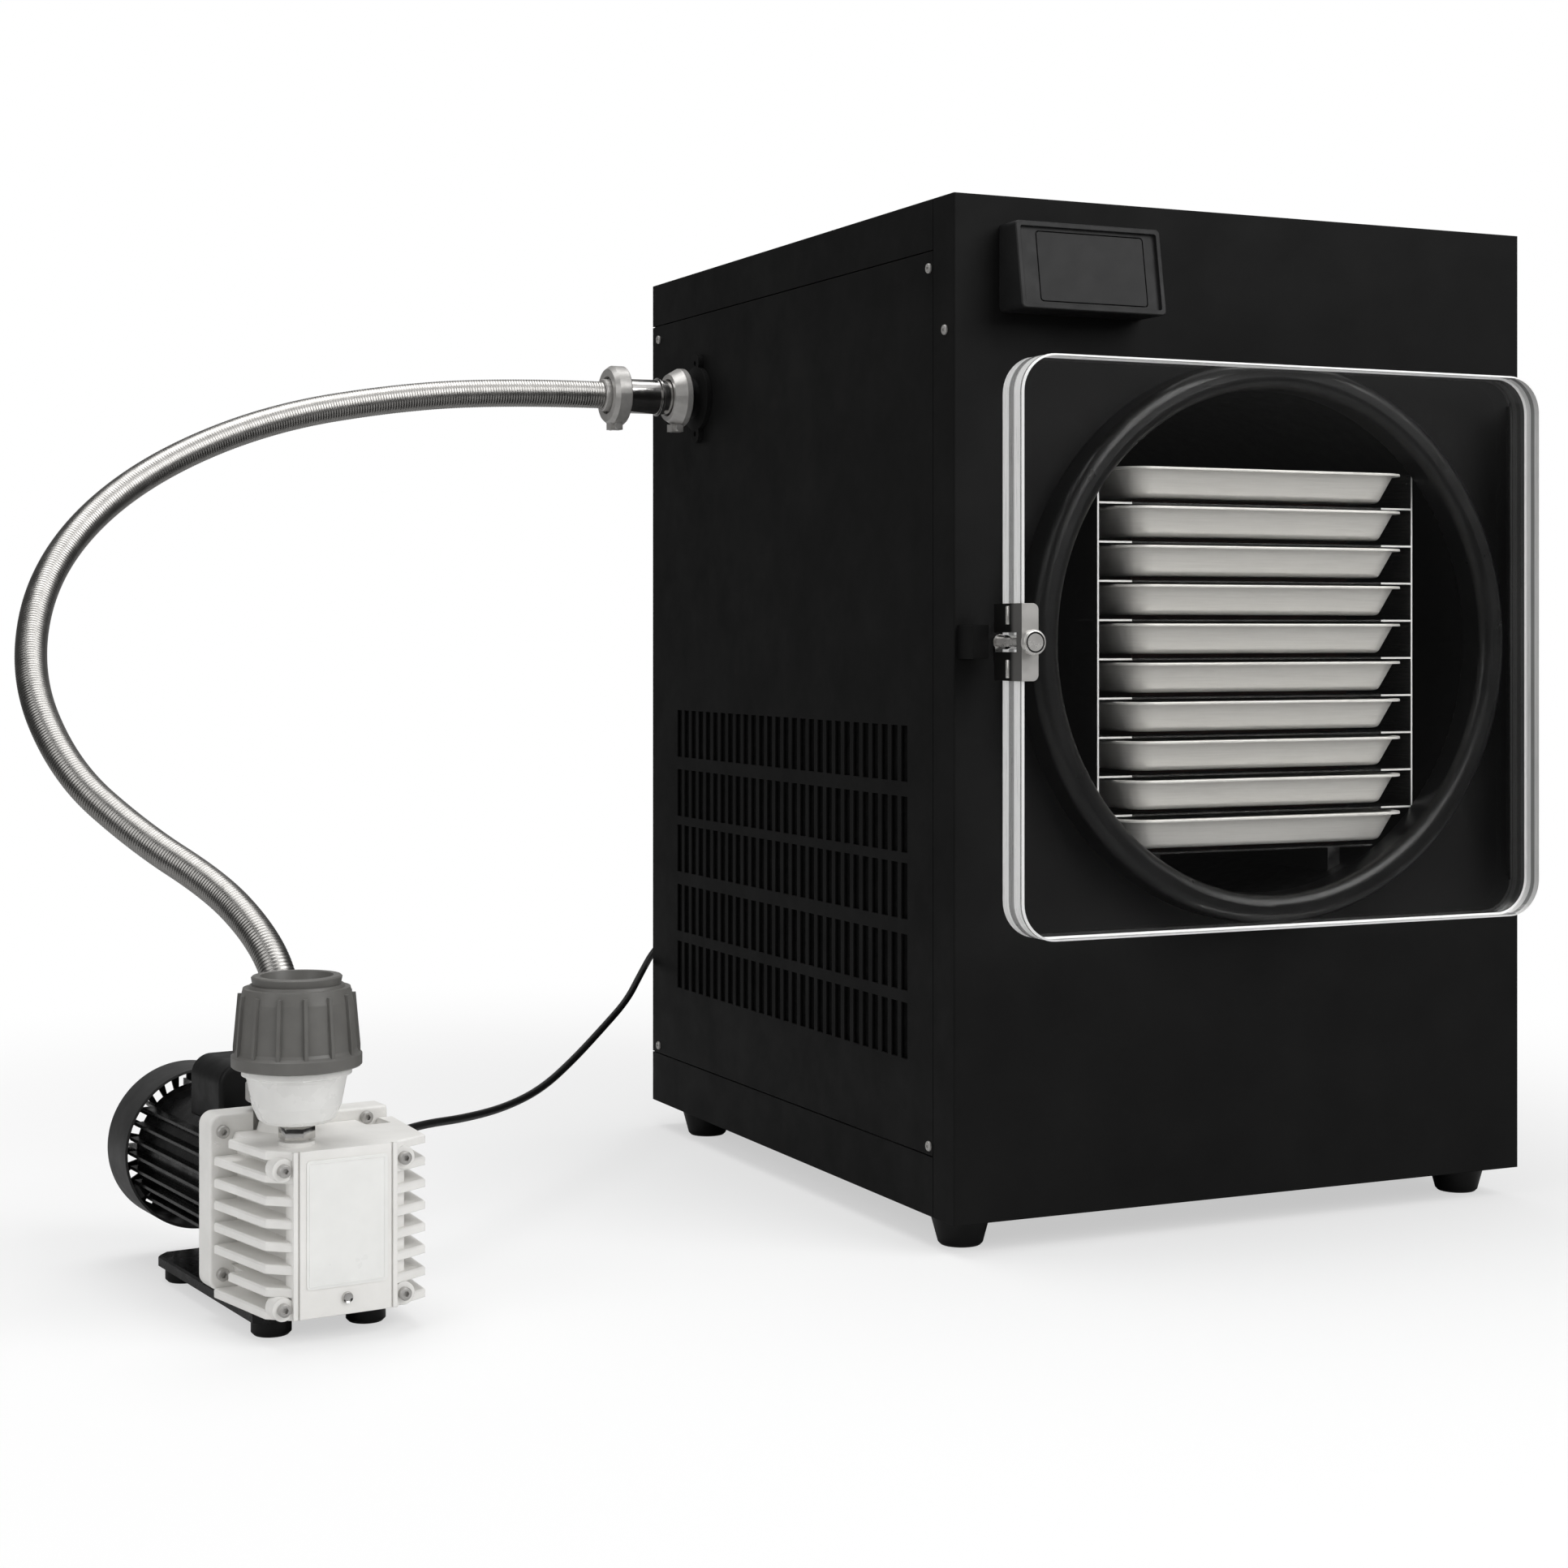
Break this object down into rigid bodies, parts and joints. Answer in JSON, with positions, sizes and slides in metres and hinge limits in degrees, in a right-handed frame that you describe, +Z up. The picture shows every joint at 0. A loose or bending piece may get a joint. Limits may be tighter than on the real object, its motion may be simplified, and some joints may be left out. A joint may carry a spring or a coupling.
{
  "type": "freeze dryer",
  "caption": "Floor-standing freeze dryer: dark sheet-metal cabinet, round chamber with stacked trays behind a thick clear hinged door, and an oil vacuum pump joined to it by a steel hose.",
  "frame": {"origin": "on the floor, under the middle of the whole object's bounding box without the hose and the leads", "axes": "+X to the viewer's right, from the pump to the cabinet; +Y from the front into the cabinet; +Z up"},
  "size_m": [1.2084, 0.7388, 0.825],
  "materials": {
    "black_paint": "fine matte powder coat",
    "chamber_enamel": "baked black enamel",
    "black_rubber": "satin",
    "clear_acrylic": "polished clear slab",
    "stainless": "bright",
    "tray_steel": "satin",
    "rack_aluminium": "bright sheet",
    "mat": "smooth dark silicone",
    "foam": "black cellular foam",
    "display_plastic": "fine texture",
    "screen": "satin dark screen, switched off",
    "black_plastic": "satin",
    "gloss_black": "gloss",
    "rotor_steel": "turned",
    "pump_white": "semi-gloss",
    "milk_plastic": "translucent white",
    "grey_plastic": "satin",
    "cable_black": "smooth"
  },
  "bodies": {
    "cabinet": {"base_frame": "black_paint", "front_panel": "black_paint", "left_side_panel": "black_paint", "right_side_panel": "black_paint", "top_cover": "black_paint", "rear_panel": "black_paint", "equipment_deck": "black_paint", "hinge_fixed_leaf": "black_paint", "fan_shroud": "black_paint", "port_flange": "black_paint", "latch_keeper": "black_paint", "vacuum_chamber": "chamber_enamel", "cabinet_feet": "black_rubber", "door_gasket": "black_rubber", "pump_feet": "black_rubber", "panel_screws": "stainless", "hinge_pin": "stainless", "vacuum_pipe": "stainless", "kf_clamps": "stainless", "hose_fittings": "stainless", "pump_screws": "stainless", "vacuum_hose": "stainless", "hose_coupling": "stainless", "tray_01": "tray_steel", "tray_02": "tray_steel", "tray_03": "tray_steel", "tray_04": "tray_steel", "tray_05": "tray_steel", "tray_06": "tray_steel", "tray_07": "tray_steel", "tray_08": "tray_steel", "tray_09": "tray_steel", "tray_10": "tray_steel", "tray_rack": "rack_aluminium", "condenser_coil": "rack_aluminium", "heater_mats": "mat", "insulation_jacket": "foam", "display_bezel": "display_plastic", "control_box": "display_plastic", "power_panel": "display_plastic", "display_screen": "screen", "fan_cowl": "black_plastic", "capacitor_cover": "black_plastic", "pump_plug": "black_plastic", "compressor": "gloss_black", "motor_housing": "gloss_black", "pump_base": "gloss_black", "oil_case": "pump_white", "pump_flange": "pump_white", "filter_bowl": "milk_plastic", "pump_cable": "cable_black"},
    "door": {"door_plate": "clear_acrylic", "hinge_door_leaf": "black_paint", "latch_clip": "stainless"},
    "latch": {"latch_knob": "stainless", "latch_cam": "stainless"},
    "fan": {"cooling_fan": "black_plastic"},
    "rocker": {"power_switch": "black_plastic"},
    "rotor": {"motor_rotor": "rotor_steel"},
    "filter_lid": {"filter_cap": "grey_plastic"}
  },
  "joints": [
    {"name": "door_hinge", "type": "hinge", "parent": "cabinet", "child": "door", "pos_m": [0.5559, -0.29095, 0.477], "axis": [0, 0, 1], "range_deg": [0, 120]},
    {"name": "latch_turn", "type": "hinge", "parent": "door", "child": "latch", "pos_m": [0.0499, -0.30595, 0.477], "axis": [0, 1, 0], "range_deg": [0, 90]},
    {"name": "fan_spin", "type": "hinge", "parent": "cabinet", "child": "fan", "pos_m": [0.3509, 0.18495, 0.1015], "axis": [0, 1, 0], "continuous": true},
    {"name": "rotor_spin", "type": "hinge", "parent": "cabinet", "child": "rotor", "pos_m": [-0.49129, -0.15515, 0.086], "axis": [-0.1219, 0.9925, 0], "continuous": true},
    {"name": "switch_rock", "type": "hinge", "parent": "cabinet", "child": "rocker", "pos_m": [0.0809, 0.34405, 0.409], "axis": [1, 0, 0], "range_deg": [-12, 12]},
    {"name": "filter_lid_turn", "type": "hinge", "parent": "cabinet", "child": "filter_lid", "pos_m": [-0.49966, -0.29218, 0.21], "axis": [0, 0, 1], "continuous": true}
  ]
}
